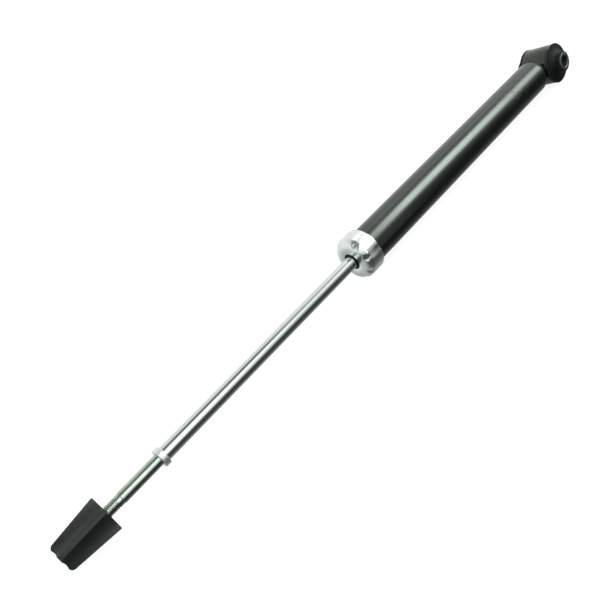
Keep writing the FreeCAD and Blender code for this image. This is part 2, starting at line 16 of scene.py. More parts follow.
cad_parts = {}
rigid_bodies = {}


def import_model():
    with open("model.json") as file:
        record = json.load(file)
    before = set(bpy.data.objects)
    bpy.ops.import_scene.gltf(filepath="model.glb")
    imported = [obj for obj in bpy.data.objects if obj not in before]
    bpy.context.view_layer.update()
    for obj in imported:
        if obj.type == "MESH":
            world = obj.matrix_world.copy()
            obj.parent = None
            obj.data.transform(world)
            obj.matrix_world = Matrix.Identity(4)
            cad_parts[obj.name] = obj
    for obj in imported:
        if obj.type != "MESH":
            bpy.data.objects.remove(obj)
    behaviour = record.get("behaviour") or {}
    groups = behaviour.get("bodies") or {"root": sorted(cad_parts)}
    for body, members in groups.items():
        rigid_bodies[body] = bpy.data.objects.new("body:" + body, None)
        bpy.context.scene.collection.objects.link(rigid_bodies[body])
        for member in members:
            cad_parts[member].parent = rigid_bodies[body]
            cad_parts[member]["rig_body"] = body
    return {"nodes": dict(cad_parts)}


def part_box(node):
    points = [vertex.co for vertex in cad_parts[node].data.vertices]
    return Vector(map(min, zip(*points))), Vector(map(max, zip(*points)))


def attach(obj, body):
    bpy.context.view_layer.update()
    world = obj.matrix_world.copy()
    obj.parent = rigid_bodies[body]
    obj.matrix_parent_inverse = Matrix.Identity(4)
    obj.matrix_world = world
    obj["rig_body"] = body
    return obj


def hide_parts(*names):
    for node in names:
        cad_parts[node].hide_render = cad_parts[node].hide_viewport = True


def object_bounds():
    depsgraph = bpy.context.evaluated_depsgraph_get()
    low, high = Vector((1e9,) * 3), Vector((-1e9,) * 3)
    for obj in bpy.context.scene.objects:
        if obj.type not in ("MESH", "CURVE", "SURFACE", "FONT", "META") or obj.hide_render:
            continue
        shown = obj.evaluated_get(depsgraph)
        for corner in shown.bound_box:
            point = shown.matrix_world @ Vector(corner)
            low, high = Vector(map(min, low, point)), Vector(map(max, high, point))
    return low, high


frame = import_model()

cad_low, cad_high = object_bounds()
MM = 0.001
print("nodes", len(frame["nodes"]), "box in mm", [round(value / MM, 1) for value in (*cad_low, *cad_high)])

# %% [markdown]
# Every finish is built from the same few steps. A texture drives a ramp of two colours, a drift of the roughness and a
# slight relief, and a surface takes all three. Colours are written as sRGB hex, as a paint chart gives them, and are
# turned to linear light by one function. The size of a texture is the length of one of its grains in metres.

# %% Helpers for colours and nodes
def linear(hex_colour):
    """The linear colour that a node expects for an sRGB hex value."""
    channels = [int(hex_colour[start:start + 2], 16) / 255 for start in (1, 3, 5)]
    return (*[c / 12.92 if c <= 0.04045 else ((c + 0.055) / 1.055) ** 2.4 for c in channels], 1.0)


def add_node(tree, kind, inputs=None, stops=None, **settings):
    """Adds a node. Inputs are values or the outputs that feed them, stops are the places and colours of a ramp."""
    node = tree.nodes.new(kind)
    for name, value in settings.items():
        setattr(node, name, value)
    for name, value in (inputs or {}).items():
        if isinstance(value, bpy.types.NodeSocket):
            tree.links.new(value, node.inputs[name])
        else:
            node.inputs[name].default_value = value
    for index, (place, colour) in enumerate(stops or []):
        elements = node.color_ramp.elements
        element = elements[index] if index < 2 else elements.new(place)
        element.position = place
        element.color = colour
    return node


def new_finish(name):
    """An empty material, its node tree and the place of each point on the piece in metres."""
    material = bpy.data.materials.new(name)
    material.use_nodes = True
    material.node_tree.nodes.clear()
    place = add_node(material.node_tree, "ShaderNodeTexCoord").outputs["Object"]
    return material, material.node_tree, place


def noise(tree, place, size, detail, **inputs):
    """Soft blotches of one size, from 0 to 1."""
    return add_node(tree, "ShaderNodeTexNoise", {"Vector": place, "Scale": 1 / size, "Detail": detail,
                                                 **inputs}).outputs["Fac"]


def two_tone(tree, drive, first, second, start=0.3, end=0.7):
    """A colour that goes from the first to the second as what drives it goes from start to end."""
    return add_node(tree, "ShaderNodeValToRGB", {"Fac": drive},
                    stops=[(start, linear(first)), (end, linear(second))]).outputs["Color"]


def drift(tree, drive, low, high, start=0.0, end=1.0):
    """A number that goes from low to high as what drives it goes from start to end."""
    return add_node(tree, "ShaderNodeMapRange", {"Value": drive, "From Min": start, "From Max": end, "To Min": low,
                                                 "To Max": high}).outputs["Result"]


def relief(tree, height, strength, depth):
    """A normal for a surface whose texture stands out by a depth in metres."""
    return add_node(tree, "ShaderNodeBump", {"Height": height, "Strength": strength,
                                             "Distance": depth}).outputs["Normal"]


def surface(tree, colour, roughness, inputs):
    """Ends a finish with its surface, which has a colour, a roughness and the inputs that few finishes need."""
    shader = add_node(tree, "ShaderNodeBsdfPrincipled", {"Base Color": colour, "Roughness": roughness, **inputs})
    add_node(tree, "ShaderNodeOutputMaterial", {"Surface": shader.outputs["BSDF"]})


# %% [markdown]
# Baked black enamel covers the tube, the base, the eye ring and its weld. It is sprayed or dipped and then stoved, so
# it flows out to a gloss with a faint orange peel of about 1.5 mm, and handling leaves it a little duller in places.
# A plain black with one roughness would look like plastic film, so the roughness and the black both drift slowly, and
# a fine noise lifts the surface. A patch of small scuffs breaks up the gloss near the eye.

# %% Enamel
ENAMEL_GLOSS = {"IOR": 1.7, "Specular Tint": linear("#F2FFF4")}
scuff_centre, scuff_reach, scuff_core = (0.085, 0.013, 0.013), 0.05, 0.01

enamel, tree, place = new_finish("baked_black_enamel")
handling = noise(tree, place, 0.03, 4.0)
black = two_tone(tree, handling, "#040605", "#080A09")
off_patch = add_node(tree, "ShaderNodeVectorMath", {0: place, 1: scuff_centre}, operation="DISTANCE").outputs["Value"]
handled = drift(tree, off_patch, 0.0, 1.0, scuff_reach, scuff_core)
specks = noise(tree, place, 0.0035, 6.0, Roughness=0.7)
scuffs = drift(tree, specks, 0.0, 0.16, 0.48, 0.62)
dulling = drift(tree, handling, 0.2, 0.26, 0.3, 0.7)
roughness = add_node(tree, "ShaderNodeMath", {0: scuffs, 1: handled, 2: dulling}, operation="MULTIPLY_ADD")
peel = relief(tree, noise(tree, place, 0.0015, 2.0), 0.12, 0.00004)
surface(tree, black, roughness.outputs["Value"], {"Normal": peel, **ENAMEL_GLOSS})
print("finish", enamel.name)

# %% [markdown]
# Most pieces of a strut are round, drawn or turned about one axis. A lathe tool follows a template, and the same can
# be done to a mesh: a circle is extruded from point to point of the section and resized to each radius. A spin of a
# drawn outline would give the same shape, but needs its poles mended by hand. Corners of the section are given as
# (along, radius), with a third value for a rounded corner. A finished piece is then dressed: it gets its material and
# its moving body, and it takes the place of the node that it stands for, whose box shows whether it has the right size.

# %% Turning helpers
def rounded(corners, grain):
    """Points of a section in metres, with arcs of about one point per grain, in millimetres, in rounded corners."""
    points = []
    for index, corner in enumerate(corners):
        here = Vector(corner[:2])
        if len(corner) < 3:
            points.append(here * MM)
            continue
        back = (Vector(corners[index - 1][:2]) - here).normalized()
        ahead = (Vector(corners[(index + 1) % len(corners)][:2]) - here).normalized()
        half_turn = back.angle(ahead) / 2
        middle = here + (back + ahead).normalized() * corner[2] / math.sin(half_turn)
        first = here + back * corner[2] / math.tan(half_turn) - middle
        last = here + ahead * corner[2] / math.tan(half_turn) - middle
        steps = 2 * math.ceil(max(2, first.angle(last) * corner[2] / grain) / 2)
        for step in range(steps + 1):
            points.append((middle + first.slerp(last, step / steps) * corner[2]) * MM)
    return points


def turned(name, corners, steps=192, grain=0.5, on_bolt=False):
    """Turns a section round the strut, or round the eye's bolt. A section that starts on the axis ends there too, and
    makes a solid. Any other closes into a ring."""
    points = rounded(corners, grain)
    solid = corners[0][1] == 0
    loops = points[1:-1] if solid else points + points[:1]
    bpy.ops.object.select_all(action="DESELECT")
    bpy.ops.mesh.primitive_circle_add(vertices=steps, radius=loops[0].y, location=(loops[0].x, 0, 0),
                                      rotation=(0, math.pi / 2, 0))
    piece = bpy.context.object
    piece.name = name
    bpy.ops.object.transform_apply()
    bpy.ops.object.mode_set(mode="EDIT")
    for before, point in zip(loops, loops[1:]):
        bpy.ops.mesh.extrude_edges_move(TRANSFORM_OT_translate={"value": (point.x - before.x, 0, 0)})
        growth = point.y / before.y
        bpy.ops.transform.resize(value=(1, growth, growth), center_override=(point.x, 0, 0))
    bpy.ops.mesh.select_all(action="SELECT")
    if solid:
        bpy.ops.mesh.fill_holes(sides=0)
    else:
        bpy.ops.mesh.remove_doubles(threshold=0.00001)
    bpy.ops.mesh.normals_make_consistent(inside=False)
    bpy.ops.object.mode_set(mode="OBJECT")
    if on_bolt:
        piece.rotation_euler.z = math.pi / 2
        bpy.ops.object.transform_apply()
    return piece


def dress(piece, node, finish, smooth_angle=35):
    """Gives a new piece its finish, its body and the node that it stands for, and prints how far their boxes differ."""
    bpy.ops.object.select_all(action="DESELECT")
    piece.select_set(True)
    bpy.context.view_layer.objects.active = piece
    bpy.ops.object.shade_smooth_by_angle(angle=math.radians(smooth_angle))
    if not piece.data.materials:
        piece.data.materials.append(finish)
    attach(piece, frame["nodes"][node]["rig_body"])
    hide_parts(node)
    low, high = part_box(node)
    corners = [Vector(corner) for corner in piece.bound_box]
    misfit = max(max(abs(min(c[axis] for c in corners) - low[axis]), abs(max(c[axis] for c in corners) - high[axis]))
                 for axis in range(3))
    print(piece.name, "faces", len(piece.data.polygons), "box differs by", round(misfit / MM, 2), "mm")


# %% [markdown]
# The outer tube is drawn steel, 36.8 mm across, rolled in at the rod end over the seal pack. Its section has both
# faces of the wall, as the real tube is hollow from end to end. A plain cylinder with a bevelled end would look the
# same from outside, but would be solid where the strut is cut open.

# %% Outer tube
tube_radius, tube_wall, rolled_hole = 18.4, 1.5, 10.01
outer_roll, inner_roll = 6.0, 4.5
tube_bore = tube_radius - tube_wall
tube_start_x = 31.57
tube_end_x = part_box("reserve_tube")[1].x / MM
tube = turned("outer_tube", [(tube_start_x, tube_bore), (tube_start_x, tube_radius),
                             (tube_end_x, tube_radius, outer_roll), (tube_end_x, rolled_hole),
                             (tube_end_x - tube_wall, rolled_hole), (tube_end_x - tube_wall, tube_bore, inner_roll)])
dress(tube, "reserve_tube", enamel)

# %% [markdown]
# The base closes the tube at the eye. It is a thick pressing with a large outer radius, which gives the tube its
# rounded end, and a spigot inside. The eye ring is a slice of tube with its edges broken, welded across it.

# %% Base and eye ring
def both_ways(half):
    """A section that is alike on both sides of the strut's middle plane, from its half on one side."""
    return half + [(-corner[0], *corner[1:]) for corner in reversed(half)]


base_face_x, base_shoulder, base_bore, floor_edge = 21.57, 9.0, 15.4, 0.6
base_floor_x, spigot_end_x = base_face_x + 3.5, tube_start_x + 7.0
base_outside = [(base_face_x, 0), (base_face_x, tube_radius, base_shoulder), (tube_start_x, tube_radius)]
base = turned("base_pressing", [*base_outside, (tube_start_x, tube_bore), (spigot_end_x, tube_bore),
                                (spigot_end_x, base_bore), (base_floor_x, base_bore, floor_edge), (base_floor_x, 0)])
dress(base, "base_cap", enamel)

eye_radius, eye_bore, eye_half, eye_edge = 21.6, 18.6, 15.2, 0.8
eye = turned("eye_ring_tube", both_ways([(eye_half, eye_bore), (eye_half, eye_radius, eye_edge)]), on_bolt=True)
dress(eye, "eye_ring", enamel)

# %% [markdown]
# The ring is welded to the base from both sides. A weld bead has a rounded face, crossed by the ripples that the
# welder's arc leaves, and the enamel fills them only in part. The bead starts as a torus round the joint. The ring and
# the base are then cut out of it with the Boolean modifier, which leaves a fillet that fits both, and two bisections
# end it where the ring ends.

# %% Weld
def select_only(piece):
    """Makes a piece the one that the next operator works on."""
    bpy.ops.object.select_all(action="DESELECT")
    bpy.context.view_layer.objects.active = piece


def cut_away(piece, cutter):
    """Cuts one closed mesh out of another, and throws the cutter away."""
    select_only(piece)
    cut = piece.modifiers.new("cut", "BOOLEAN")
    cut.operation = "DIFFERENCE"
    cut.solver = "EXACT"
    cut.object = cutter
    bpy.ops.object.modifier_apply(modifier=cut.name)
    bpy.data.objects.remove(cutter)


def saw_off(place, normal):
    """Cuts the closed mesh that is being edited with a plane, takes off what lies beyond it, and closes the cut."""
    bpy.ops.mesh.select_all(action="SELECT")
    bpy.ops.mesh.bisect(plane_co=place, plane_no=normal, use_fill=True, clear_outer=True)


welded, tree, place = new_finish("enamelled_weld_bead")
ripples = add_node(tree, "ShaderNodeTexWave", {"Vector": place, "Scale": 1 / 0.005, "Distortion": 3.0, "Detail": 2.0},
                   wave_type="BANDS", bands_direction="Y")
surface(tree, linear("#0B0E0C"), 0.34, {"Normal": relief(tree, ripples.outputs["Fac"], 0.7, 0.0002), **ENAMEL_GLOSS})

bead_x, bead_circle, bead_radius, bead_inset, ring_space = 20.3, 11.6, 2.6, 0.4, 60
bpy.ops.mesh.primitive_torus_add(major_radius=bead_circle * MM, minor_radius=bead_radius * MM, major_segments=192,
                                 minor_segments=64, location=(bead_x * MM, 0, 0), rotation=(0, math.pi / 2, 0))
bead = bpy.context.object
bead.name = "eye_weld_bead"
bpy.ops.object.transform_apply()
bpy.ops.mesh.primitive_cylinder_add(vertices=192, radius=eye_radius * MM, depth=ring_space * MM,
                                    rotation=(math.pi / 2, 0, 0))
cut_away(bead, bpy.context.object)
cut_away(bead, turned("base_space", [*base_outside, (tube_start_x, 0)]))
bpy.context.view_layer.objects.active = bead
bpy.ops.object.mode_set(mode="EDIT")
for side in (1, -1):
    saw_off((0, side * (eye_half - bead_inset) * MM, 0), (0, side, 0))
bpy.ops.object.mode_set(mode="OBJECT")
dress(bead, "eye_weld", welded)

# %% [markdown]
# The bush is natural rubber moulded and bonded between the ring and the sleeve. Carbon black makes it near black, and
# the mould leaves it dull with a soft sheen. Its lip stands over the end of the ring, with a groove between, and has a
# flat rim. Inside the rim the rubber rises as a low dome, and sweeps out into a nose along the sleeve. All of this is
# one section, turned about the bolt. The lip's edge shines like the ring beside it, as it caught some of the enamel.

# %% Rubber bush
rubber, tree, place = new_finish("moulded_black_rubber")
bloom = noise(tree, place, 0.012, 5.0)
skin = relief(tree, noise(tree, place, 0.0006, 3.0), 0.2, 0.00006)
surface(tree, two_tone(tree, bloom, "#0D100E", "#171B18", end=0.75), drift(tree, bloom, 0.56, 0.66, 0.3, 0.7),
        {"Normal": skin, "Specular IOR Level": 0.26})

lip_radius, lip_start, lip_end, groove_floor = 22.1, eye_half + 0.9, eye_half + 1.8, 20.6
rim_radius, dome_radius, dome_end = 18.9, 14.0, lip_end + 2.3
nose_radius, nose_foot, nose_end, bush_bore = 11.35, lip_end + 4.5, 26.25, 9.55
bush = turned("eye_bush_rubber", both_ways([
    (eye_half, eye_bore), (eye_half, groove_floor), (lip_start, groove_floor), (lip_start, lip_radius, 0.2),
    (lip_end, lip_radius, 0.5), (lip_end, rim_radius), (dome_end, dome_radius, 3.0), (nose_foot, nose_radius, 3.0),
    (nose_end, nose_radius, 0.5), (nose_end, bush_bore)]), grain=0.3, on_bolt=True)
enamel_from = 21.3
bush.data.materials.append(rubber)
bush.data.materials.append(enamel)
for face in bush.data.polygons:
    face.material_index = int(math.hypot(face.center.x, face.center.z) > enamel_from * MM)
dress(bush, "eye_bush", rubber)

# %% [markdown]
# The sleeve is cut from drawn tube and faced on a lathe, so its ends are bright and its bore is drawn smooth. The feed
# of the tool leaves rings on the face, finer than the picture can show, so they are drawn a little coarser here.

# %% Steel sleeve
turned_steel, tree, place = new_finish("turned_mild_steel")
axes = add_node(tree, "ShaderNodeSeparateXYZ", {"Vector": place})
flat = add_node(tree, "ShaderNodeCombineXYZ", {"X": axes.outputs["X"], "Y": axes.outputs["Z"]})
feed = add_node(tree, "ShaderNodeTexWave", {"Vector": flat.outputs["Vector"], "Scale": 1 / 0.008, "Distortion": 0.4},
                wave_type="RINGS", rings_direction="SPHERICAL")
oiled = noise(tree, place, 0.006, 4.0)
surface(tree, two_tone(tree, oiled, "#5E6663", "#727A76"), drift(tree, oiled, 0.5, 0.62),
        {"Normal": relief(tree, feed.outputs["Fac"], 0.15, 0.00003), "Metallic": 1.0})

sleeve_half, sleeve_radius, sleeve_bore, bore_chamfer, edge_chamfer = 27.25, 9.5, 6.1, 0.7, 0.6
sleeve = turned("eye_sleeve_tube", both_ways([
    (sleeve_half - bore_chamfer, sleeve_bore), (sleeve_half, sleeve_bore + bore_chamfer),
    (sleeve_half, sleeve_radius - edge_chamfer), (sleeve_half - edge_chamfer, sleeve_radius)]),
    steps=128, on_bolt=True)
dress(sleeve, "eye_sleeve", turned_steel)

# %% [markdown]
# The bump cap is pressed from sheet, bright zinc plated, and staked onto the rolled end of the tube by eight pockets in
# its shoulder. The whole cap is one fine section, turned. Each pocket is then pressed in: the sheet's two faces are
# picked up at the pocket's centre and moved along the shoulder's diagonal, and proportional editing draws the sheet
# around them after them, as a round punch does. A boolean with a ball would leave a knife edge that no press makes.
# The punch also pulls the skirt in a little all the way down, and the plate shows this as a stripe of its own. No two
# pockets are alike, so each has its own depth.

# %% Bump cap
zinc, tree, place = new_finish("bright_zinc_plate")
clouding = noise(tree, place, 0.015, 3.0)
crystals = relief(tree, noise(tree, place, 0.004, 4.0), 0.1, 0.0001)
surface(tree, two_tone(tree, clouding, "#E0E4E2", "#ECEFED"), drift(tree, clouding, 0.2, 0.27, 0.3, 0.7),
        {"Normal": crystals, "Metallic": 1.0})

cap_end_x, skirt_x, cap_radius, cap_hole, sheet, shoulder, dome = 376.7, 356.1, 21.75, 8.5, 1.2, 7.0, 0.7
cap = turned("bump_cap_pressing", [
    (skirt_x, cap_radius - sheet, 0.3), (skirt_x, cap_radius, 0.5), (cap_end_x - dome, cap_radius, shoulder),
    (cap_end_x, cap_hole, 0.3), (cap_end_x - sheet, cap_hole, 0.3),
    (cap_end_x - dome - sheet, cap_radius - sheet, shoulder - sheet)], steps=360, grain=0.33)


def press(piece, start, end, reach, push, spread):
    """Moves the corners within reach of a line, draws those within the spread after them, and counts the first."""
    mesh = bmesh.from_edit_mesh(piece.data)
    for corner in mesh.verts:
        nearest = start if start == end else intersect_point_line(corner.co, start, end)[0]
        inside = (nearest - start).dot(end - start) >= 0 and (nearest - end).dot(start - end) >= 0
        corner.select = inside and (corner.co - nearest).length < reach
    mesh.select_flush_mode()
    bmesh.update_edit_mesh(piece.data)
    bpy.ops.transform.translate(value=push, use_proportional_edit=True, proportional_edit_falloff="SMOOTH",
                                proportional_size=spread)
    return sum(corner.select for corner in mesh.verts)


first_pocket_angle, pocket_step = 8, 45
pocket_depths = (0.6, 0.8, 0.8, 0.8, 0.8, 0.8, 0.9, 0.55)
flute_depths = (0.08, 0.2, 0.25, 0.2, 0.25, 0.2, 0.6, 0.1)
pocket_reach, pocket_spread, flute_reach, flute_spread = 0.9, 3.6, 0.7, 3.8
bpy.ops.object.mode_set(mode="EDIT")
bpy.ops.mesh.select_mode(type="VERT")
for index, (pocket_depth, flute_depth) in enumerate(zip(pocket_depths, flute_depths)):
    angle = math.radians(first_pocket_angle + pocket_step * index)
    around = Vector((0, -math.sin(angle), math.cos(angle)))
    diagonal = (Vector((1, 0, 0)) + around).normalized()
    ring_centre = Vector((cap_end_x - shoulder, 0, 0)) + around * (cap_radius - shoulder)
    skirt_line = around * (cap_radius - sheet / 2) * MM
    rim, root = skirt_line + Vector((skirt_x * MM, 0, 0)), skirt_line + Vector(((cap_end_x - shoulder) * MM, 0, 0))
    fluted = press(cap, rim, root, flute_reach * MM, around * -flute_depth * MM, flute_spread * MM)
    mid_sheet = (ring_centre + diagonal * (shoulder - sheet / 2)) * MM
    picked = press(cap, mid_sheet, mid_sheet, pocket_reach * MM, diagonal * -pocket_depth * MM, pocket_spread * MM)
bpy.ops.mesh.select_all(action="SELECT")
bpy.ops.mesh.normals_make_consistent(inside=False)
bpy.ops.object.mode_set(mode="OBJECT")
print("points picked up at a pocket", picked, "and down the skirt", fluted)
dress(cap, "bump_cap", zinc, smooth_angle=80)

# %% [markdown]
# The rod is one bar. Its shank is hard chromed and ground, so it mirrors the room as long clean stripes, with only a
# trace of grinding round it. Beyond the collar it is bare turned steel with a greenish rust oil on it: a stem, a neck,
# a rolled thread and a dog point with two flats. Two finishes on one piece are two material slots.

# %% Rod finishes
def stretched(tree, place, sizes):
    """A place on the piece in grains, where a grain has one size along the strut and another across it."""
    along, across = sizes
    return add_node(tree, "ShaderNodeMapping", {"Vector": place,
                                                "Scale": (1 / along, 1 / across, 1 / across)}).outputs["Vector"]


chrome, tree, place = new_finish("ground_hard_chrome")
grinding = noise(tree, stretched(tree, place, (0.0008, 0.02)), 1.0, 3.0)
surface(tree, two_tone(tree, grinding, "#D8DCDB", "#DEE2E1"), drift(tree, grinding, 0.06, 0.1),
        {"Normal": relief(tree, grinding, 0.05, 0.00001), "Metallic": 1.0})

oiled_steel, tree, place = new_finish("oiled_turned_steel")
feed = add_node(tree, "ShaderNodeTexWave", {"Vector": place, "Scale": 1 / 0.004, "Distortion": 0.6},
                wave_type="BANDS", bands_direction="X")
film = noise(tree, place, 0.008, 5.0)
surface(tree, two_tone(tree, film, "#A3ADA3", "#B9C2B8"), drift(tree, film, 0.14, 0.22),
        {"Normal": relief(tree, feed.outputs["Fac"], 0.06, 0.00002), "Metallic": 1.0})
print("finishes", chrome.name, oiled_steel.name)

# %% [markdown]
# The thread is a real helix, M10 by 1.5 and right-handed. One pitch of its section is drawn as a short chain, and the
# Screw modifier winds it along the rod, a turn too many at each end. Bisecting at both ends with a fill leaves a
# closed bar of thread, as if sawn to length. The rest of the rod is turned, with a core under the thread, and the dog
# point gets its flats by two more cuts.

# %% Rod with its thread
rod_low, rod_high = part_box("piston_rod")
rod_end_x, tenon_x = rod_high.x / MM, rod_low.x / MM
collar_x, collar_length, thread_x, pitch, turns = 616.7, 5.2, 664.1, 1.5, 21
collar_end_x, dog_x = collar_x + collar_length, thread_x + pitch * turns
crest, root, crest_width, overlap = 4.87, 4.07, 0.25, 0.02
flank = pitch / 2 - crest_width

bpy.ops.object.select_all(action="DESELECT")
bpy.ops.mesh.primitive_plane_add(size=MM, location=((thread_x - pitch) * MM, root * MM, 0))
thread = bpy.context.object
bpy.ops.object.transform_apply()
bpy.ops.object.mode_set(mode="EDIT")
bpy.ops.mesh.merge(type="CENTER")
for along, out in [(flank, crest - root), (crest_width, 0), (flank, root - crest), (crest_width, 0)]:
    bpy.ops.mesh.extrude_vertices_move(TRANSFORM_OT_translate={"value": (along * MM, out * MM, 0)})
bpy.ops.object.mode_set(mode="OBJECT")
screw = thread.modifiers.new("winding", "SCREW")
screw.axis = "X"
screw.screw_offset = pitch * MM
screw.iterations = turns + 2
screw.steps = screw.render_steps = 64
bpy.ops.object.modifier_apply(modifier=screw.name)
bpy.ops.object.mode_set(mode="EDIT")
bpy.ops.mesh.select_all(action="SELECT")
bpy.ops.mesh.remove_doubles(threshold=0.00001)
saw_off(((thread_x - overlap) * MM, 0, 0), (-1, 0, 0))
saw_off(((dog_x + overlap) * MM, 0, 0), (1, 0, 0))
bpy.ops.mesh.select_all(action="SELECT")
bpy.ops.mesh.normals_make_consistent(inside=False)
bpy.ops.object.mode_set(mode="OBJECT")
print("thread faces", len(thread.data.polygons))

dog_radius, dog_edge, dog_root, half_flats = 4.2, 0.9, 0.1, 3.2
dog = turned("dog_point", [(dog_x - dog_root, 0), (dog_x - dog_root, dog_radius), (rod_end_x, dog_radius, dog_edge),
                           (rod_end_x, 0)], steps=96, grain=0.2)
bpy.ops.object.mode_set(mode="EDIT")
for side in (1, -1):
    saw_off((0, 0, side * half_flats * MM), (0, 0, side))
bpy.ops.object.mode_set(mode="OBJECT")

rod_radius, groove_radius, seat_radius, stem_radius, neck_radius, core_radius = 6.2, 5.6, 5.5, 5.0, 4.6, 4.02
tenon_radius, tenon_chamfer, shoulder_edge = 4.5, 0.6, 0.3
stem_end_x, neck_slope = 660.2, 0.4
shoulder_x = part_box("piston_stop_washer")[1].x / MM
groove_x, groove_end_x = (corner.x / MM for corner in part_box("rebound_stop"))
rod = turned("piston_rod_bar", [
    (tenon_x, 0), (tenon_x, tenon_radius - tenon_chamfer), (tenon_x + tenon_chamfer, tenon_radius),
    (shoulder_x, tenon_radius), (shoulder_x, rod_radius, shoulder_edge), (groove_x, rod_radius),
    (groove_x, groove_radius), (groove_end_x, groove_radius), (groove_end_x, rod_radius), (collar_x, rod_radius),
    (collar_x, seat_radius), (collar_end_x, seat_radius), (collar_end_x, stem_radius), (stem_end_x, stem_radius),
    (stem_end_x + neck_slope, neck_radius), (thread_x, neck_radius), (thread_x, core_radius), (dog_x, core_radius),
    (dog_x, 0)], steps=128, grain=0.15)
bpy.ops.object.select_all(action="DESELECT")
for part in (thread, dog, rod):
    part.select_set(True)
bpy.context.view_layer.objects.active = rod
bpy.ops.object.join()
rod.data.materials.append(chrome)
rod.data.materials.append(oiled_steel)
for face in rod.data.polygons:
    chromed = shoulder_x * MM <= face.center.x <= (collar_x + overlap) * MM
    face.material_index = 0 if chromed else 1
dress(rod, "piston_rod", chrome)

# %% [markdown]
# The collar is turned from bar, chamfered and zinc plated, and pressed against the rod's shoulder. It carries the
# bump stop's washer. The plate is softer to the eye than chrome, a whitish metal with blurred stripes.

# %% Seat collar
plated, tree, place = new_finish("clear_zinc_plated_steel")
clouding = noise(tree, place, 0.004, 4.0)
surface(tree, two_tone(tree, clouding, "#E4E8E6", "#F0F3F2"), drift(tree, clouding, 0.4, 0.5), {"Metallic": 1.0})

collar_radius, chamfer = 8.15, 0.5
collar = turned("seat_collar_ring", [
    (collar_x, seat_radius), (collar_end_x, seat_radius), (collar_end_x, collar_radius - chamfer),
    (collar_end_x - chamfer, collar_radius), (collar_x + chamfer, collar_radius), (collar_x, collar_radius - chamfer)],
    steps=128)
dress(collar, "seat_collar", plated)

# %% [markdown]
# The transit cap is injection moulded in black polyethylene: a tapered envelope with four wide hollows that leave
# wings, a blind bore pressed onto the thread, and a shallow dish at the tip. The envelope is turned, and the rest is
# cut from it with the Boolean modifier, as the mould's cores leave it out. A narrow bevel then softens every edge, as
# plastic does not fill a sharp corner.

# %% Transit cap
polyethylene, tree, place = new_finish("moulded_black_polyethylene")
flow = noise(tree, place, 0.01, 4.0)
mould_texture = relief(tree, noise(tree, place, 0.0008, 2.0), 0.1, 0.00004)
surface(tree, two_tone(tree, flow, "#1F2321", "#272B29", end=0.75), drift(tree, flow, 0.4, 0.5, 0.3, 0.7),
        {"Normal": mould_texture, "Specular IOR Level": 0.32})

mouth_radius, tip_radius, mouth_edge, tip_edge = 15.8, 11.65, 0.8, 3.6
mouth_x, tip_x = (corner.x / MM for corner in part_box("transit_cap"))
guard = turned("transit_cap_moulding", [(mouth_x, 0), (mouth_x, mouth_radius, mouth_edge),
                                        (tip_x, tip_radius, tip_edge), (tip_x, 0)], grain=0.3)

hollow_radius, hollow_circle, first_hollow_angle = 12.74, 20.14, 80
core_x, core_length = mouth_x + 25, 60
for index in range(4):
    angle = math.radians(first_hollow_angle + 90 * index)
    bpy.ops.mesh.primitive_cylinder_add(
        vertices=192, radius=hollow_radius * MM, depth=core_length * MM, rotation=(0, math.pi / 2, 0),
        location=(core_x * MM, hollow_circle * math.cos(angle) * MM, hollow_circle * math.sin(angle) * MM))
    cut_away(guard, bpy.context.object)
bore_radius, bore_depth, beyond = 4.97, 28.45, 5.0
bpy.ops.mesh.primitive_cylinder_add(vertices=96, radius=bore_radius * MM, depth=(bore_depth + beyond) * MM,
                                    rotation=(0, math.pi / 2, 0),
                                    location=((mouth_x + (bore_depth - beyond) / 2) * MM, 0, 0))
cut_away(guard, bpy.context.object)
dish_x, dish_radius, dish_wall, above_tip_x, above_tip_radius = tip_x - 1.2, 6.2, 10.0, tip_x + 0.4, 10.5
cut_away(guard, turned("dish_space", [(dish_x, 0), (dish_x, dish_radius, dish_wall), (above_tip_x, above_tip_radius),
                                      (above_tip_x, 0)], steps=128, grain=0.3))

print("transit cap faces after the cuts", len(guard.data.polygons))

soft_edge, sharpest_left = 0.35, 40
soften = guard.modifiers.new("soft_edges", "BEVEL")
soften.width = soft_edge * MM
soften.segments = 2
soften.limit_method = "ANGLE"
soften.angle_limit = math.radians(sharpest_left)
select_only(guard)
bpy.ops.object.modifier_apply(modifier=soften.name)
dress(guard, "transit_cap", polyethylene, smooth_angle=30)

# %% [markdown]
# The pieces inside keep their solids, because no one sees them until the strut is cut open, but each still gets the
# finish of its real material. Drawn steel has fine lines along it, spring steel is bluish from its tempering, sintered
# iron is grey and full of pores, the bearing is bronze, and the piston's band is filled PTFE.

# %% Finishes inside
def cells(tree, place, size):
    """How far each point is from the middle of its grain."""
    return add_node(tree, "ShaderNodeTexVoronoi", {"Vector": place, "Scale": 1 / size}).outputs["Distance"]


drawn_steel, tree, place = new_finish("cold_drawn_steel")
lines = noise(tree, stretched(tree, place, (0.03, 0.0006)), 1.0, 3.0)
surface(tree, two_tone(tree, lines, "#7F8683", "#9CA3A0"), drift(tree, lines, 0.28, 0.45), {"Metallic": 1.0})

spring_steel, tree, place = new_finish("tempered_spring_steel")
temper = noise(tree, place, 0.005, 2.0)
surface(tree, two_tone(tree, temper, "#5F6875", "#7C8288", 0.35, 0.65), drift(tree, temper, 0.2, 0.32),
        {"Metallic": 1.0})

sintered_iron, tree, place = new_finish("steam_treated_sintered_iron")
pores = cells(tree, place, 0.0004)
surface(tree, two_tone(tree, pores, "#2C2E2F", "#5E6163", 0.1, 0.35), 0.55,
        {"Normal": relief(tree, pores, 0.4, 0.00005), "Metallic": 1.0})

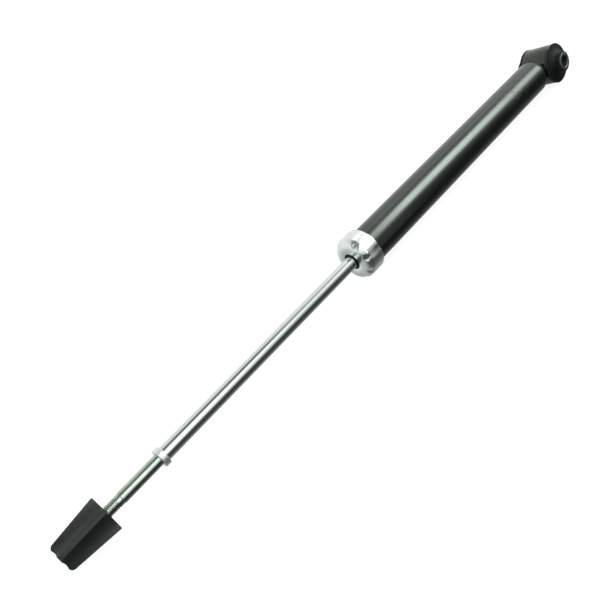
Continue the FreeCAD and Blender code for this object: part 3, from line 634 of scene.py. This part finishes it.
bronze, tree, place = new_finish("lead_free_bearing_bronze")
rubbed = noise(tree, place, 0.003, 4.0)
surface(tree, two_tone(tree, rubbed, "#8F6A3A", "#B68E55"), drift(tree, rubbed, 0.3, 0.45), {"Metallic": 1.0})

filled_ptfe, tree, place = new_finish("bronze_filled_ptfe")
surface(tree, two_tone(tree, cells(tree, place, 0.0005), "#6A5234", "#40382C", 0.1, 0.5), 0.42, {"IOR": 1.38})

seal_rubber, tree, place = new_finish("nitrile_seal_rubber")
surface(tree, two_tone(tree, noise(tree, place, 0.001, 3.0), "#050606", "#0B0D0C"), 0.6, {})

inside = {
    drawn_steel: ["pressure_tube", "seal_washer", "rebound_stop", "piston_stop_washer", "piston_disc_washer",
                  "base_valve_washer", "base_valve_pin"],
    spring_steel: ["garter_spring", "piston_check_plate", "piston_check_spring", "piston_discs", "base_check_plate",
                   "base_check_spring", "base_valve_discs"],
    sintered_iron: ["rod_guide", "piston_body", "base_valve_body"],
    bronze: ["guide_bush"],
    plated: ["piston_nut"],
    filled_ptfe: ["piston_band", "rebound_bumper"],
    seal_rubber: ["rod_seal"],
}
for finish, names in inside.items():
    for name in names:
        for material_slot in frame["nodes"][name].material_slots:
            material_slot.material = finish
print("nodes with a finish of their own", sum(len(names) for names in inside.values()))

# %% [markdown]
# The studio is a soft light all round, brightest in one broad strip above and in front, as a long light box gives. On
# a cylinder, where a reflection comes from depends only on the angle round the strut's axis, so the world's
# brightness is written against that angle, from how bright the chrome is where it mirrors it. Lamps and flags would
# do the same, with more noise. How far a direction leans to the eye's end, from -1 to 1, tells the places along the
# strut apart. The box shines on the tube only, and less at the eye's end. Overhead there is a gap between two light
# sheets, and a white card bridges it over the middle of the strut. The rod's end has a weaker strip of its own, and a
# small card stands low before the bump cap. Seen straight, the world is plain white, so the floor has no horizon.

# %% Studio light
scene = bpy.context.scene
scene.view_settings.view_transform = "Standard"
studio = bpy.data.worlds.new("soft_studio")
scene.world = studio
studio.use_nodes = True
tree = studio.node_tree
tree.nodes.clear()
direction = add_node(tree, "ShaderNodeTexCoord").outputs["Generated"]
axes = add_node(tree, "ShaderNodeSeparateXYZ", {"Vector": direction})
round_angle = add_node(tree, "ShaderNodeMath", {0: axes.outputs["Z"], 1: axes.outputs["Y"]},
                       operation="ARCTAN2").outputs["Value"]
leaning = drift(tree, axes.outputs["X"], 0.0, 1.0, 1.0, -1.0)

ROOM_LEVELS = [(-180, 1.0), (-158, 0.92), (-149, 0.5), (-130, 0.5), (-110, 0.42), (-96, 0.3), (-80, 0.2),
               (-66, 0.12), (-54, 0.07), (-26, 0.055), (-14, 0.07), (-4, 0.13), (8, 0.34), (19, 0.72), (30, 1.0),
               (42, 1.2), (55, 1.5), (63, 0.95), (68, 0.5), (75, 0.18), (84, 0.12), (91, 0.2), (99, 0.52),
               (108, 0.82), (118, 0.97), (152, 1.1), (180, 0.95)]
tint = linear("#F2F7F5")
room = add_node(tree, "ShaderNodeValToRGB", {"Fac": drift(tree, round_angle, 0.0, 1.0, -math.pi, math.pi)},
                stops=[((angle + 180) / 360, (*[level * c for c in tint[:3]], 1)) for angle, level in ROOM_LEVELS])
room_light = add_node(tree, "ShaderNodeBackground", {"Color": room.outputs["Color"], "Strength": 1.0})


def along_strut(levels):
    """A brightness that changes with how far a direction leans to the eye's end."""
    return add_node(tree, "ShaderNodeValToRGB", {"Fac": leaning},
                    stops=[((lean + 1) / 2, (level, level, level, 1)) for lean, level in levels]).outputs["Color"]


def add_strip(below, start, full, fade, end, levels):
    """Adds to the strips below it one more, which lies between angles round the strut in degrees, with soft sides."""
    sides = [add_node(tree, "ShaderNodeMapRange", {"Value": round_angle, "From Min": math.radians(low),
                                                   "From Max": math.radians(high)}, interpolation_type="SMOOTHSTEP")
             for low, high in ((start, full), (end, fade))]
    strip = add_node(tree, "ShaderNodeMath", {0: sides[0].outputs["Result"], 1: sides[1].outputs["Result"]},
                     operation="MULTIPLY")
    return add_node(tree, "ShaderNodeMath", {0: strip.outputs["Value"], 1: along_strut(levels), 2: below},
                    operation="MULTIPLY_ADD").outputs["Value"]


box = add_strip(0.0, 23, 40, 60, 77, [(0.555, 0.0), (0.572, 16.0), (0.59, 12.0), (0.63, 9.8), (0.69, 7.9), (0.74, 6.4),
                                      (0.79, 4.2), (0.86, 1.5)])
card = add_strip(box, 66, 86, 100, 124, [(0.34, 0.0), (0.45, 0.45), (0.52, 0.6), (0.54, 2.0), (0.565, 1.5), (0.6, 0.7),
                                         (0.8, 0.9)])
rod_end_strip = add_strip(card, -18, 20, 42, 64, [(-0.2, 0.2), (-0.04, 1.5), (0.1, 1.4), (0.2, 0.7), (0.34, 0.25),
                                                  (0.45, 0.0)])
low_card = add_strip(rod_end_strip, -40, -24, -6, 10, [(0.53, 0.0), (0.542, 1.4), (0.564, 1.4), (0.574, 0.0)])
strip_light = add_node(tree, "ShaderNodeBackground", {"Color": tint, "Strength": low_card})
light = add_node(tree, "ShaderNodeAddShader", {0: room_light.outputs[0], 1: strip_light.outputs[0]})
seen_straight = add_node(tree, "ShaderNodeLightPath").outputs["Is Camera Ray"]
white = add_node(tree, "ShaderNodeBackground", {"Color": (1, 1, 1, 1), "Strength": 1.0})
both = add_node(tree, "ShaderNodeMixShader", {0: seen_straight, 1: light.outputs[0], 2: white.outputs[0]})
add_node(tree, "ShaderNodeOutputWorld", {"Surface": both.outputs[0]})
print("levels round the strut", len(ROOM_LEVELS), "nodes of light", len(tree.nodes))

# %% [markdown]
# The floor is a wide pale sheet under the strut. It glows a little, so that it stays as white as the background and
# only takes a faint shadow where the strut touches it, and it is seen by the camera alone, so that it throws no light
# back onto the dark underside.

# %% Floor
pale_floor, tree, place = new_finish("pale_studio_paper")
paper = add_node(tree, "ShaderNodeValToRGB", {"Fac": noise(tree, place, 0.002, 3.0)},
                 stops=[(0.3, (0.15, 0.15, 0.15, 1)), (0.7, (0.16, 0.16, 0.16, 1))])
surface(tree, paper.outputs["Color"], 1.0,
        {"Specular IOR Level": 0.0, "Emission Color": (1, 1, 1, 1), "Emission Strength": 0.9})

floor_gap, floor_size, floor_middle_x = 0.0001, 30.0, 0.35
bpy.ops.object.select_all(action="DESELECT")
bpy.ops.mesh.primitive_plane_add(size=floor_size, location=(floor_middle_x, 0, cad_low.z - floor_gap))
floor = bpy.context.object
floor.name = "studio_floor"
bpy.ops.object.transform_apply()
floor.data.materials.append(pale_floor)
floor.visible_diffuse = floor.visible_glossy = floor.visible_transmission = floor.visible_shadow = False
print("floor at", round(cad_low.z / MM, 2), "mm")

# %% [markdown]
# The camera stands where the photographer's did: beyond the rod's end, above and to the front, fairly close, and
# rolled so that the strut runs up to the right. Place, aim and roll were fitted to the outline of the photograph.

# %% Camera
camera_place = Vector((0.6927, 0.4481, 0.2558))
camera_aim = Vector((0.4423, -0.0045, 0.0082))
camera_roll = math.radians(-31.79)
bpy.ops.object.camera_add(location=camera_place)
camera = bpy.context.object
turn = (camera_aim - camera_place).to_track_quat("-Z", "Y") @ Quaternion((0, 0, 1), camera_roll)
camera.rotation_euler = turn.to_euler()
camera.data.lens = 39.0
camera.data.sensor_width = 36.0
camera.data.clip_start = 0.01
scene.camera = camera
print("camera's right", [round(value, 3) for value in turn @ Vector((1, 0, 0))])
